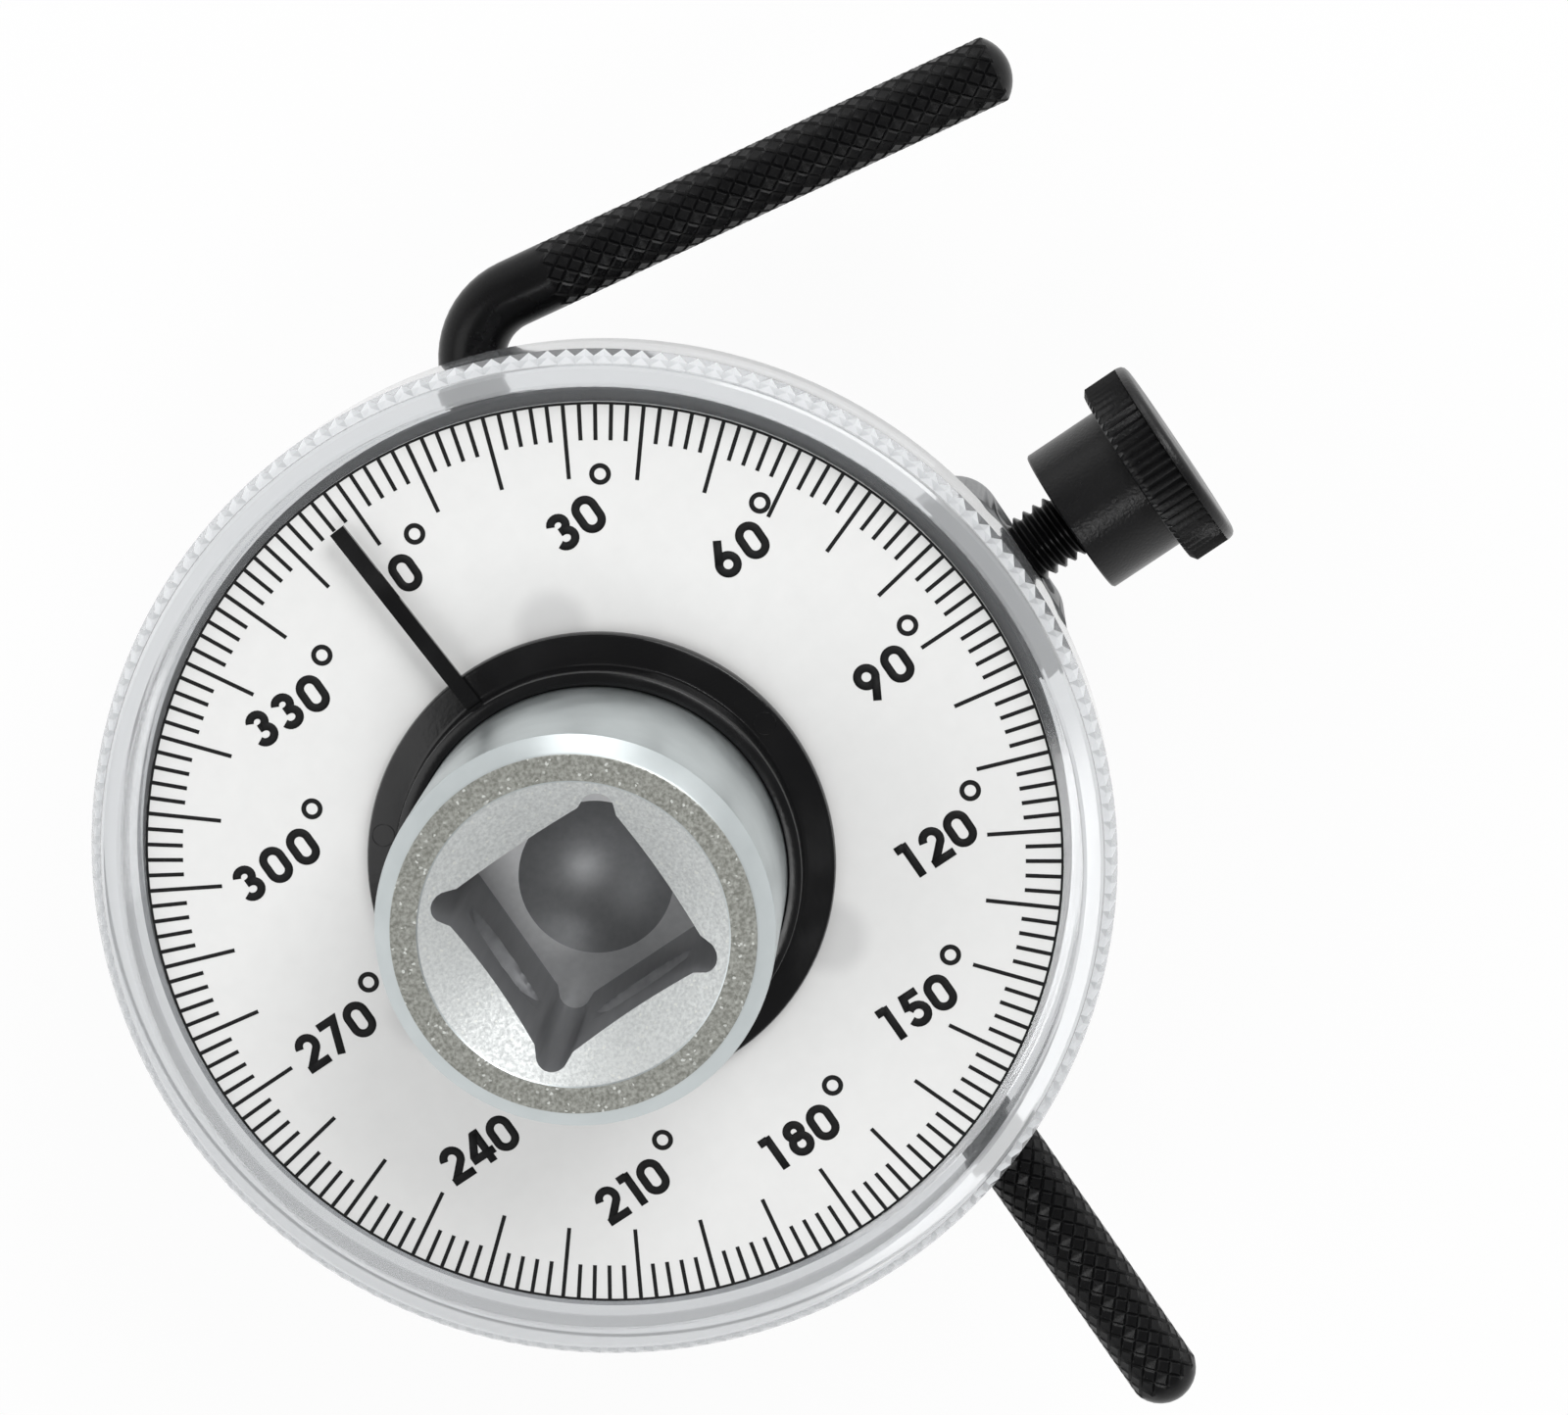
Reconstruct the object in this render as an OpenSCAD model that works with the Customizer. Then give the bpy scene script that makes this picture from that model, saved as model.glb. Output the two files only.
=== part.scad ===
// Torque angle gauge: drive spindle with pointer, settable dial, clamp body and reaction arm.
// All sizes in millimetres. Z is the drive axis and points out of the female square.
// Z = 0 is the end of the male tang. X runs along the thumbscrew, Y along the reaction arm.

/* [Drive] */
// size of the male drive square across its flats
drive_square = 12.7; // [12.5:0.05:12.8]
// outside diameter of the nose with the female square
nose_d = 25.5; // [24.5:0.1:27]
// height of the nose above the dial
nose_h = 21.5; // [18:0.5:25]
// depth of the female square
socket_depth = 16.5; // [14:0.5:17]
// length of the male tang
tang_l = 15.8; // [14:0.2:18]

/* [Dial] */
// diameter of the printed dial
dial_d = 62.6; // [61:0.2:66]
// thickness of the printed dial
dial_t = 0.5; // [0.3:0.1:0.6]
// dark gap between the dial and the rim round it
dial_gap = 1.2; // [0.6:0.1:1.6]

/* [Setting ring] */
// number of teeth of the straight knurl
ring_teeth = 174; // [120:2:200]
// depth of the knurl
tooth_depth = 0.55; // [0.3:0.05:0.8]
// width of the knurled band along the axis
knurl_w = 0.7; // [0.5:0.1:2]
// depth of the ring below the dial
ring_drop = 7; // [6.6:0.1:7.1]
// height of the smooth rim above the dial
rim_h = 2.3; // [1.4:0.1:3]

/* [Pointer] */
// turn of the pointer to the left of the dial's top
pointer_deg = 3; // [-180:1:180]
// width of the needle
needle_w = 1.1; // [0.8:0.1:2]
// reach of the needle from the drive axis
needle_r = 28.7; // [24:0.1:29.5]

/* [Reaction arm] */
// diameter over the knurl at the free end of the long leg
arm_d = 5.0; // [4.6:0.1:5]
// diameter of the plain rod
rod_d = 4.7; // [4.2:0.1:4.7]
// long leg from its round end to the corner
arm_long = 93.1; // [88:0.5:110]
// distance of the corner from the thumbscrew's line
arm_corner_y = 35.8; // [35:0.2:45]
// short leg from the corner to its round end
arm_short = 43.5; // [36:0.5:56]
// angle between the two legs
arm_angle = 80.5; // [75:0.5:92]
// bend radius at the middle of the rod
bend_r = 5; // [4.5:0.1:5.4]

/* [Thumbscrew] */
// diameter of the knob's neck
knob_d = 10.9; // [9:0.1:12]
// diameter of the ribbed head
head_d = 14.2; // [13:0.1:15]
// number of ribs on the head
head_ribs = 50; // [30:2:56]
// length of stud showing between the boss and the knob
stud_show = 3.7; // [2.5:0.1:6]

/* [Hidden] */
$fn = 96;
fit = 0.05;
// drive stack, heights measured from the dial's face
nose_r = nose_d / 2;
nose_foot = 0.6;
land_r = 9;
neck_r = 6.4;
neck_top = -7.6;
neck_bot = -15.4;
land_end = -21.2;
dial_z = tang_l - land_end;
clip_top = -19.35;
clip_bot = -20.25;
// square socket
socket_sq = drive_square + 0.12;
mouth_r = 9.85;
groove_z = nose_h - 8.5;
face_r = nose_r - 1.15;
// dial and ring
dial_r = dial_d / 2;
dial_bore_r = nose_r + 1.85;
wall_r = dial_r + dial_gap;
smooth_r = wall_r + 1.5;
root_r = smooth_r + 0.35;
tip_r = root_r + tooth_depth;
knurl_top = rim_h - 1;
skirt_r = wall_r - 0.3;
web_bot = -2.4;
lip_top = -1.7;
lip_r = 18.8;
step_r = 20.6;
// carrier, retainer and screws
carrier_r = skirt_r - 0.3;
carrier_top = -2.7;
carrier_bot = -5.2;
spigot_r = 13.2;
screw_r = 16.1;
screw_head_r = 2;
screw_at = [23, 143, 263];
oring_r = 26;
oring_w = 0.75;
// clamp body
hub_r = 14.5;
hub_bot = -18.5;
flange_bot = -9.7;
bush_r = 10.6;
arm_x = 9.7;
arm_z = -11.5;
arm_bore_r = arm_d / 2 + 0.1;
block_y = 15;
boss_x = tip_r - 0.1;
boss_top = -ring_drop - 0.4;
boss_bot = -16.2;
boss_hw = 7.2;
boss_round = 3.2;
insert_r = 3.5;
insert_x = boss_x - 10.5;
// thumbscrew
stud_r = 2.45;
stud_tip = arm_x + arm_d / 2 + 0.25;
knob_x = boss_x + stud_show;
neck_l = 5.6;
head_l = 3.5;
cap_l = 1;
head_z = neck_l + head_l;
rib_h = 0.3;
// detent in the tang
ball_r = 2.38;
ball_out = 0.8;
ball_z = land_end - tang_l * 0.53;
ball_x = drive_square / 2 + ball_out - ball_r;
well_x = -3;
// arm
rod_r = rod_d / 2;
turn = 180 - arm_angle;
tangent = bend_r * tan(turn / 2);
arm_end_y = arm_corner_y - arm_long;
dome_h = 1.4;
seam = 0.1;

// which node to draw, or all of them

// lifts a shape drawn about the dial's face into the part's frame
module at_dial() {
  translate([0, 0, dial_z]) children();
}

// a ring drawn by its inner and outer radius between two heights
module ring(ri, ro, z0, z1) {
  rotate_extrude()
    polygon([[ri, z0], [ro, z0], [ro, z1], [ri, z1]]);
}

// a round bar along X from x0 to x1
module bar_x(r, x0, x1) {
  translate([x0, 0, 0])
    rotate([0, 90, 0])
      cylinder(r = r, h = x1 - x0);
}

// outline of a wheel with pointed teeth
module toothed(tip, root, n) {
  polygon([for (i = [0 : 2 * n - 1])
    let (a = i * 180 / n, r = i % 2 == 0 ? tip : root)
    [r * cos(a), r * sin(a)]]);
}

// places children at the three retaining screws, angles clockwise from the dial's top
module at_screws() {
  for (a = screw_at)
    translate([screw_r * sin(a), screw_r * cos(a), 0]) children();
}

// turned outline of the drive, from the tang's shoulder to the nose's face
module spindle_blank() {
  rotate_extrude()
    polygon([
      [0, land_end], [8.65, land_end], [land_r, land_end + 0.4], [land_r, clip_bot - 0.05],
      [8.1, clip_bot - 0.05], [8.1, clip_top + 0.05], [land_r, clip_top + 0.05],
      [land_r, neck_bot], [neck_r, neck_bot], [neck_r, neck_top], [land_r, neck_top],
      [land_r, nose_foot], [nose_r - 0.4, nose_foot], [nose_r, nose_foot + 0.4],
      [nose_r, nose_h - 1.15], [face_r, nose_h], [0, nose_h]
    ]);
}

// male square with rounded corners and a chamfered end
module tang() {
  intersection() {
    translate([-drive_square / 2, -drive_square / 2, land_end - tang_l])
      cube([drive_square, drive_square, tang_l + 0.3]);
    rotate_extrude()
      polygon([
        [0, land_end - tang_l], [7.2, land_end - tang_l], [8.3, land_end - tang_l + 1.3],
        [8.3, land_end + 0.2], [0, land_end + 0.2]
      ]);
  }
}

// female square with relieved corners, a countersunk mouth, a groove for a ball and a drilled foot
module socket_cut() {
  translate([0, 0, nose_h - socket_depth])
    linear_extrude(height = socket_depth + 1) {
      square(socket_sq, center = true);
      for (a = [45 : 90 : 315])
        rotate(a)
          translate([socket_sq * 0.63, 0])
            circle(r = 1.1);
    }
  rotate_extrude()
    polygon([[0, nose_h - 2.6], [mouth_r - 3.9, nose_h - 2.6], [mouth_r + 1.5, nose_h + 1], [0, nose_h + 1]]);
  rotate_extrude()
    polygon([[0, groove_z - 2.3], [6, groove_z - 2.3], [7.5, groove_z - 1], [7.5, groove_z + 1],
      [6, groove_z + 2.3], [0, groove_z + 2.3]]);
  rotate_extrude()
    polygon([[0, nose_h - socket_depth - 2.2], [0.6, nose_h - socket_depth - 2.2],
      [6.2, nose_h - socket_depth + 0.25], [0, nose_h - socket_depth + 0.25]]);
}

module drive_spindle() {
  color([0.78, 0.79, 0.79])
    at_dial()
      difference() {
        union() {
          spindle_blank();
          tang();
        }
        socket_cut();
        translate([0, 0, ball_z])
          bar_x(ball_r + fit, well_x, drive_square);
      }
}

module detent_ball() {
  color([0.7, 0.7, 0.72])
    at_dial()
      translate([ball_x, 0, ball_z])
        sphere(r = ball_r);
}

module detent_spring() {
  color([0.6, 0.6, 0.62])
    at_dial()
      translate([0, 0, ball_z])
        difference() {
          bar_x(2, well_x, ball_x - 2.85);
          bar_x(1.3, well_x - 1, ball_x);
        }
}

module retaining_clip() {
  color([0.2, 0.2, 0.21])
    at_dial()
      difference() {
        ring(8.15, 11.1, clip_bot, clip_top);
        translate([-1.6, -14, clip_bot - 1])
          cube([3.2, 8, 3]);
      }
}

module pointer_hub() {
  color([0.05, 0.05, 0.05])
    at_dial()
      rotate_extrude()
        polygon([
          [nose_r + fit, 0.5], [nose_r + 3.15, 0.5], [nose_r + 3.15, 1.2], [nose_r + 2.85, 1.5],
          [nose_r + 1.05, 1.5], [nose_r + 1.05, 3.8], [nose_r + 0.65, 4.2], [nose_r + fit, 4.2]
        ]);
}

module pointer_needle() {
  color([0.04, 0.04, 0.04])
    at_dial()
      rotate([0, 0, pointer_deg])
        translate([-needle_w / 2, nose_r + 1.1, 1.5])
          cube([needle_w, needle_r - nose_r - 1.1, 0.4]);
}

module dial_face() {
  color([0.93, 0.93, 0.92])
    at_dial()
      ring(dial_bore_r, dial_r, -dial_t, 0);
}

// clear cup: knurled band, smooth rim, web under the dial and a skirt round the carrier
module setting_ring() {
  color([0.86, 0.88, 0.89, 0.4])
    at_dial()
      difference() {
        union() {
          translate([0, 0, knurl_top - knurl_w - 0.3])
            linear_extrude(height = knurl_w + 0.3)
              toothed(tip_r - 0.05, root_r, ring_teeth);
          rotate_extrude()
            polygon([
              [0, -ring_drop], [tip_r - 0.3, -ring_drop], [tip_r, -ring_drop + 0.3],
              [tip_r, knurl_top - knurl_w], [smooth_r, knurl_top - knurl_w],
              [smooth_r, rim_h - 0.15], [smooth_r - 0.15, rim_h], [0, rim_h]
            ]);
        }
        rotate_extrude()
          polygon([
            [0, -ring_drop - 1], [skirt_r, -ring_drop - 1], [skirt_r, web_bot], [lip_r, web_bot],
            [lip_r, lip_top], [step_r, lip_top], [step_r, -dial_t], [wall_r, -dial_t],
            [wall_r, rim_h - 0.3], [wall_r + 0.3, rim_h], [wall_r + 0.3, rim_h + 1], [0, rim_h + 1]
          ]);
      }
}

module carrier_plate() {
  color([0.1, 0.1, 0.11])
    at_dial()
      difference() {
        ring(spigot_r + fit, carrier_r, carrier_bot, carrier_top);
        ring(oring_r - 0.9, oring_r + 0.9, carrier_top - 1.3, carrier_top + 1);
        at_screws()
          translate([0, 0, carrier_bot - 1])
            cylinder(r = 1.6, h = 5);
      }
}

module friction_ring() {
  color([0.06, 0.06, 0.06])
    at_dial()
      rotate_extrude()
        translate([oring_r, carrier_top - 1.3 + oring_w])
          circle(r = oring_w);
}

module dial_retainer() {
  color([0.12, 0.12, 0.13])
    at_dial()
      difference() {
        rotate_extrude()
          polygon([
            [spigot_r + fit, carrier_top], [lip_r - 0.3, carrier_top], [lip_r - 0.3, -1.5],
            [step_r - 0.4, -1.5], [step_r - 0.4, -0.9], [spigot_r + fit, -0.9]
          ]);
        at_screws()
          translate([0, 0, carrier_top - 1])
            cylinder(r = 1.6, h = 5);
        at_screws()
          translate([0, 0, -1.9])
            cylinder(r = screw_head_r + 0.1, h = 3);
      }
}

module retainer_screws() {
  color([0.55, 0.55, 0.57])
    at_dial()
      at_screws() {
        translate([0, 0, -1.9])
          cylinder(r = screw_head_r, h = 1);
        translate([0, 0, flange_bot + 0.7])
          cylinder(r = 1.45, h = -1.5 - flange_bot - 0.7);
      }
}

// plan outline of the radial boss with a rounded outer end
module boss_outline() {
  translate([0, -boss_hw])
    square([boss_x - boss_round, 2 * boss_hw]);
  translate([0, -boss_hw + boss_round])
    square([boss_x, 2 * (boss_hw - boss_round)]);
  for (s = [-1, 1])
    translate([boss_x - boss_round, s * (boss_hw - boss_round)])
      circle(r = boss_round);
}

module clamp_body() {
  color([0.45, 0.46, 0.47])
    at_dial()
      difference() {
        union() {
          translate([0, 0, hub_bot])
            cylinder(r = hub_r, h = carrier_bot - hub_bot);
          translate([0, 0, flange_bot])
            cylinder(r = screw_r + 3.1, h = carrier_bot - flange_bot);
          translate([0, 0, carrier_bot - 0.5])
            cylinder(r = spigot_r, h = -2 - carrier_bot + 0.5);
          translate([2, -block_y, boss_bot])
            cube([arm_x + 5.5 - 2, 2 * block_y, flange_bot - boss_bot]);
          translate([0, 0, boss_bot])
            linear_extrude(height = boss_top - boss_bot)
              boss_outline();
        }
        translate([0, 0, hub_bot - 1])
          cylinder(r = bush_r + fit, h = -hub_bot + 2);
        translate([arm_x, 0, arm_z])
          rotate([90, 0, 0])
            cylinder(r = arm_bore_r, h = 50, center = true);
        translate([0, 0, arm_z]) {
          bar_x(stud_r + 0.25, arm_x, boss_x + 1);
          bar_x(insert_r + fit, insert_x, boss_x + 1);
        }
        at_screws()
          translate([0, 0, flange_bot + 0.5])
            cylinder(r = 1.5, h = 6);
      }
}

module front_bush() {
  color([0.62, 0.5, 0.3])
    at_dial()
      rotate_extrude()
        polygon([
          [land_r + fit, neck_top + 0.2], [bush_r, neck_top + 0.2], [bush_r, -2], [12.4, -2],
          [12.4, -0.6], [land_r + fit, -0.6]
        ]);
}

module rear_bush() {
  color([0.62, 0.5, 0.3])
    at_dial()
      ring(land_r + fit, bush_r, hub_bot, neck_bot - 0.2);
}

module wave_washer() {
  color([0.5, 0.5, 0.52])
    at_dial()
      ring(land_r + 0.5, 12.1, -0.6, nose_foot - 0.1);
}

module thrust_washer() {
  color([0.6, 0.6, 0.6])
    at_dial()
      ring(land_r + 0.15, 12.6, hub_bot - 0.7, hub_bot);
}

module stud_insert() {
  color([0.72, 0.58, 0.3])
    at_dial()
      translate([0, 0, arm_z])
        difference() {
          bar_x(insert_r, insert_x, boss_x - 0.2);
          bar_x(stud_r + fit, insert_x - 1, boss_x + 1);
        }
}

module thumbscrew_stud() {
  color([0.07, 0.07, 0.07])
    at_dial()
      translate([0, 0, arm_z])
        bar_x(stud_r, stud_tip, knob_x + head_z - 1.6);
}

module thumbscrew_knob() {
  color([0.05, 0.05, 0.05])
    at_dial()
      translate([knob_x, 0, arm_z])
        rotate([0, 90, 0])
          difference() {
            union() {
              cylinder(d = knob_d, h = neck_l + 0.5);
              translate([0, 0, neck_l])
                linear_extrude(height = head_l - cap_l / 2)
                  toothed(head_d / 2 - 0.1, head_d / 2 - 0.1 - rib_h, head_ribs);
              rotate_extrude()
                polygon([
                  [0, head_z - cap_l], [head_d / 2, head_z - cap_l], [head_d / 2, head_z - 0.6],
                  [head_d / 2 - 0.2, head_z - 0.2], [head_d / 2 - 0.6, head_z], [0, head_z]
                ]);
            }
            translate([0, 0, -1])
              cylinder(r = stud_r + fit, h = head_z - 0.5);
          }
}

// round bar along Z from z0 to a low domed tip
module domed_bar(r, z0, tip) {
  rotate_extrude()
    polygon([
      [0, z0], [r, z0], [r, tip - dome_h], [r * 0.86, tip - dome_h * 0.45], [r * 0.56, tip - dome_h * 0.13],
      [r * 0.2, tip], [0, tip]
    ]);
}

// rod along Y through the clamp, bent into the short leg
module reaction_arm() {
  color([0.06, 0.06, 0.06])
    at_dial()
      translate([arm_x, 0, arm_z]) {
        translate([0, arm_corner_y - tangent, 0])
          rotate([90, 0, 0])
            cylinder(r = rod_r, h = arm_long - tangent - arm_d);
        translate([0, -24, 0])
          rotate([90, 0, 0])
            domed_bar(arm_d / 2, 0, -24 - arm_end_y);
        translate([bend_r, arm_corner_y - tangent, 0])
          rotate([0, 0, 180 - turn])
            rotate_extrude(angle = turn)
              translate([bend_r, 0])
                circle(r = rod_r);
        translate([0, arm_corner_y - tangent, 0])
          sphere(r = rod_r + seam);
        translate([0, arm_corner_y, 0])
          rotate([0, 0, 90 - turn]) {
            translate([tangent, 0, 0])
              sphere(r = rod_r + seam);
            rotate([0, 90, 0])
              domed_bar(rod_r, tangent, arm_short);
          }
      }
}

drive_spindle();
pointer_hub();
pointer_needle();
retaining_clip();
detent_spring();
detent_ball();
clamp_body();
carrier_plate();
dial_retainer();
retainer_screws();
friction_ring();
front_bush();
rear_bush();
wave_washer();
thrust_washer();
stud_insert();
setting_ring();
dial_face();
thumbscrew_stud();
thumbscrew_knob();
reaction_arm();
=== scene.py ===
"""Dresses the torque angle gauge: drive, printed dial, clear ring, thumbscrew and reaction arm."""

from math import atan2, cos, hypot, pi, radians, sin

import bmesh
import bpy
from bpy.props import FloatProperty, FloatVectorProperty, IntProperty, PointerProperty
from mathutils import Matrix, Vector


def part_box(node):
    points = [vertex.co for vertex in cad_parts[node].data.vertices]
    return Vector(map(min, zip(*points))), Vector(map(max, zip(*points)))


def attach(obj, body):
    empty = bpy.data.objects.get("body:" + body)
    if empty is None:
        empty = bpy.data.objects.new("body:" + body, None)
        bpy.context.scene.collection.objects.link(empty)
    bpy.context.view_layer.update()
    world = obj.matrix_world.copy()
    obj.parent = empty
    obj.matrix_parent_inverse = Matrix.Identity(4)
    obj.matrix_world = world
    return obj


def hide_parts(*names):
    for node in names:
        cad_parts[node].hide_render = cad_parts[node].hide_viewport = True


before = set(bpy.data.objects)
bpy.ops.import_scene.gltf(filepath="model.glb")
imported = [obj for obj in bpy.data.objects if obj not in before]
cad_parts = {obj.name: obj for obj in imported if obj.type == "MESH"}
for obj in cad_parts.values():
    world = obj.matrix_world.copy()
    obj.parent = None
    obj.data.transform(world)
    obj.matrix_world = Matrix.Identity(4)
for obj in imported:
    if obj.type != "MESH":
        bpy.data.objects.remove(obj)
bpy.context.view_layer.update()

bl_info = {
    "name": "Torque angle gauge",
    "version": (1, 0, 0),
    "blender": (4, 5, 0),
    "location": "3D View > Sidebar > Gauge",
    "description": "Builds the looks of a torque angle gauge on its packed frame",
    "category": "Object",
}

MM = 0.001
# Distances in metres: points merged in new pieces and in CAD copies, cut on a plane, or the same.
MERGE, CAD_MERGE, ON_PLANE, SAME = 2e-7, 2e-6, 1e-8, 1e-6

# Places that the frame gives: the dial's face, the ring, the thumbscrew and the nose.
DIAL_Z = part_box("dial_face")[1].z
DIAL_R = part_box("dial_face")[1].x
RING_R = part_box("setting_ring")[1].x
RIM_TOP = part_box("setting_ring")[1].z
RING_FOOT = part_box("setting_ring")[0].z
NOSE_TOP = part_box("drive_spindle")[1].z
NOSE_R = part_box("drive_spindle")[1].x
KNOB_LOW, KNOB_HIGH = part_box("thumbscrew_knob")
STUD_LOW, STUD_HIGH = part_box("thumbscrew_stud")
HUB_LOW, HUB_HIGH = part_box("pointer_hub")
ARM_LOW, ARM_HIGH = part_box("reaction_arm")
SCREW_Z = (STUD_LOW.z + STUD_HIGH.z) / 2

# Steps in one turn of the nose, the dial's border, the hub and the small printed or moulded rings.
NOSE_SIDES, BORDER_STEPS, HUB_STEPS, SMALL_STEPS = 240, 240, 144, 32


def linear(code):
    """Turns an sRGB hex colour into Blender's linear colour."""
    parts = [int(code[i:i + 2], 16) / 255 for i in (0, 2, 4)]
    return tuple(c / 12.92 if c <= 0.04045 else ((c + 0.055) / 1.055) ** 2.4 for c in parts)


def per_mm(size):
    """Texture scale, in repeats per metre, of a feature that is `size` millimetres wide."""
    return 1 / (size * MM)


def arc(cx, cy, rx, ry, start, stop, parts=16):
    """Points on a part of an ellipse, angles in degrees."""
    turns = [radians(start + (stop - start) * k / parts) for k in range(parts + 1)]
    return [(cx + rx * cos(a), cy + ry * sin(a)) for a in turns]


def loop(cy, rx, ry):
    """The closed bowl of a six, an eight or a nine, whose last point stops short of its first."""
    return arc(0.0, cy, rx, ry, 0, 348.75, 31), True


# Middle lines of the digits' strokes, about each digit's centre, for digits 2.62 mm high.
NUMBER_H = 2.62 * MM
SIX = [loop(-0.43, 0.62, 0.62), ([(-0.55, -0.16), (0.27, 1.31)], False)]
DIGIT_STROKES = {
    digit: [([(u * MM, v * MM) for u, v in stroke], closed) for stroke, closed in strokes]
    for digit, strokes in {
        "0": [(arc(0.0, 0.41, 0.65, 0.64, 0, 180) + arc(0.0, -0.41, 0.65, 0.64, 180, 360), True)],
        "1": [([(0.2, -1.31), (0.2, 1.31)], False), ([(-0.48, 1.08), (0.2, 1.08)], False)],
        "2": [(arc(0.0, 0.44, 0.6, 0.61, 175, -38) + [(-0.6, -0.98)], False),
              ([(-0.87, -1.06), (0.87, -1.06)], False)],
        "3": [(arc(-0.03, 0.545, 0.53, 0.485, 165, -90) + [(-0.2, 0.06)], False),
              (arc(-0.03, -0.48, 0.6, 0.54, 90, -165), False)],
        "4": [([(0.36, -1.31), (0.36, 1.31)], False), ([(0.25, 1.15), (-0.68, -0.4)], False),
              ([(-0.91, -0.55), (0.91, -0.55)], False)],
        "5": [([(0.72, 1.06), (-0.36, 1.06), (-0.52, 0.1)], False),
              (arc(-0.03, -0.41, 0.65, 0.63, 130, -165), False)],
        "6": SIX,
        "7": [([(-0.75, 1.06), (0.5, 1.06), (-0.38, -1.31)], False)],
        "8": [loop(0.56, 0.5, 0.49), loop(-0.43, 0.6, 0.61)],
        "9": [([(-u, -v) for u, v in stroke], closed) for stroke, closed in SIX],
    }.items()
}

# The numbers 0 to 330, by thirties: centre of the last digit, pitch of the digits, and how far the
# degree ring stands to the right of the last digit, in mm.
NUMBER_PLACES = (
    (0.31, 23.67, 2.1, 2.05), (12.81, 19.98, 2.1, 2.2), (20.9, 12.38, 2.25, 1.85),
    (24.21, 0.0, 2.22, 2.05), (21.37, -11.72, 2.03, 2.05), (13.87, -20.43, 2.02, 2.05),
    (2.02, -23.55, 2.03, 2.05), (-9.9, -20.25, 1.76, 2.05), (-16.77, -11.92, 1.98, 2.05),
    (-20.29, 0.18, 2.05, 2.05), (-16.44, 12.22, 2.27, 2.05), (-9.69, 20.46, 2.13, 2.05),
)


class GaugeSizes(bpy.types.PropertyGroup):
    """Sizes of the printed, moulded and knurled detail."""

    tick_width: FloatProperty(
        name="Tick width", description="Width of one printed tick",
        default=0.27 * MM, min=0.1 * MM, max=0.6 * MM, unit="LENGTH", precision=5)
    tick_outer: FloatProperty(
        name="Tick circle", description="Radius at which every tick ends",
        default=31.12 * MM, min=29 * MM, max=31.2 * MM, unit="LENGTH", precision=5)
    long_tick: FloatProperty(
        name="Long tick", description="Length of the ticks at every ten degrees",
        default=4.95 * MM, min=2 * MM, max=7 * MM, unit="LENGTH", precision=5)
    short_tick: FloatProperty(
        name="Short tick", description="Length of the ticks at every two degrees",
        default=2.4 * MM, min=1 * MM, max=4 * MM, unit="LENGTH", precision=5)
    number_height: FloatProperty(
        name="Number height", description="Height of the printed digits",
        default=NUMBER_H, min=1 * MM, max=4 * MM, unit="LENGTH", precision=5)
    number_stroke: FloatProperty(
        name="Number stroke", description="Width of the strokes of the digits",
        default=0.57 * MM, min=0.2 * MM, max=0.8 * MM, unit="LENGTH", precision=5)
    ring_wall: FloatProperty(
        name="Rim bore", description="Inner radius of the clear rim round the dial",
        default=32.5 * MM, min=31.5 * MM, max=33.5 * MM, unit="LENGTH", precision=5)
    ring_teeth: IntProperty(
        name="Ring teeth", description="Number of teeth round the clear ring's front corner",
        default=174, min=60, max=240)
    ring_notch: FloatProperty(
        name="Ring notch", description="Depth to which the notches run down the ring's wall",
        default=0.8 * MM, min=0.3 * MM, max=0.9 * MM, unit="LENGTH", precision=5)
    knob_ribs: IntProperty(
        name="Knob ribs", description="Number of grip ribs on the thumbscrew's head",
        default=64, min=20, max=80)
    thread_pitch: FloatProperty(
        name="Thread pitch", description="Pitch of the thumbscrew's thread",
        default=0.8 * MM, min=0.4 * MM, max=1.2 * MM, unit="LENGTH", precision=5)
    knurl_depth: FloatProperty(
        name="Knurl depth", description="Depth of the diamond knurl on the arm",
        default=0.14 * MM, min=0.05 * MM, max=0.3 * MM, unit="LENGTH", precision=5)
    knurl_diamonds: IntProperty(
        name="Knurl diamonds", description="Diamonds of the knurl in one turn round the arm",
        default=12, min=8, max=24)


class GaugeColours(bpy.types.PropertyGroup):
    """Colours of the finishes."""

    plating: FloatVectorProperty(
        name="Plating", description="Zinc plate on the drive", subtype="COLOR",
        size=3, min=0, max=1, default=linear("D2D8D9"))
    nose_grit: FloatVectorProperty(
        name="Nose grit", description="Dark grains of the grit-blasted front ring",
        subtype="COLOR", size=3, min=0, max=1, default=linear("8B8C85"))
    socket: FloatVectorProperty(
        name="Socket", description="Thinly plated steel inside the square hole", subtype="COLOR",
        size=3, min=0, max=1, default=linear("ACADAF"))
    dial: FloatVectorProperty(
        name="Dial", description="White of the printed dial", subtype="COLOR",
        size=3, min=0, max=1, default=linear("EDEDEC"))
    ink: FloatVectorProperty(
        name="Ink", description="Black of the dial's print", subtype="COLOR",
        size=3, min=0, max=1, default=linear("0D0D0E"))
    plastic: FloatVectorProperty(
        name="Black plastic", description="Moulded pointer hub and knob", subtype="COLOR",
        size=3, min=0, max=1, default=linear("0E0E0F"))
    arm: FloatVectorProperty(
        name="Arm", description="Blacked steel of the arm and the stud", subtype="COLOR",
        size=3, min=0, max=1, default=linear("0A0A0B"))
    casting: FloatVectorProperty(
        name="Casting", description="Grey of the clamp body", subtype="COLOR",
        size=3, min=0, max=1, default=linear("8C8D8E"))
    # the plate under the dial is a real grey plastic, darkened to nearly black so that it paints
    # the shade seen in the gap between the dial and the clear ring
    carrier_and_gap_shade: FloatVectorProperty(
        name="Carrier", description="Grey plastic of the plate under the dial", subtype="COLOR",
        size=3, min=0, max=1, default=linear("2B2C2E"))


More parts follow.
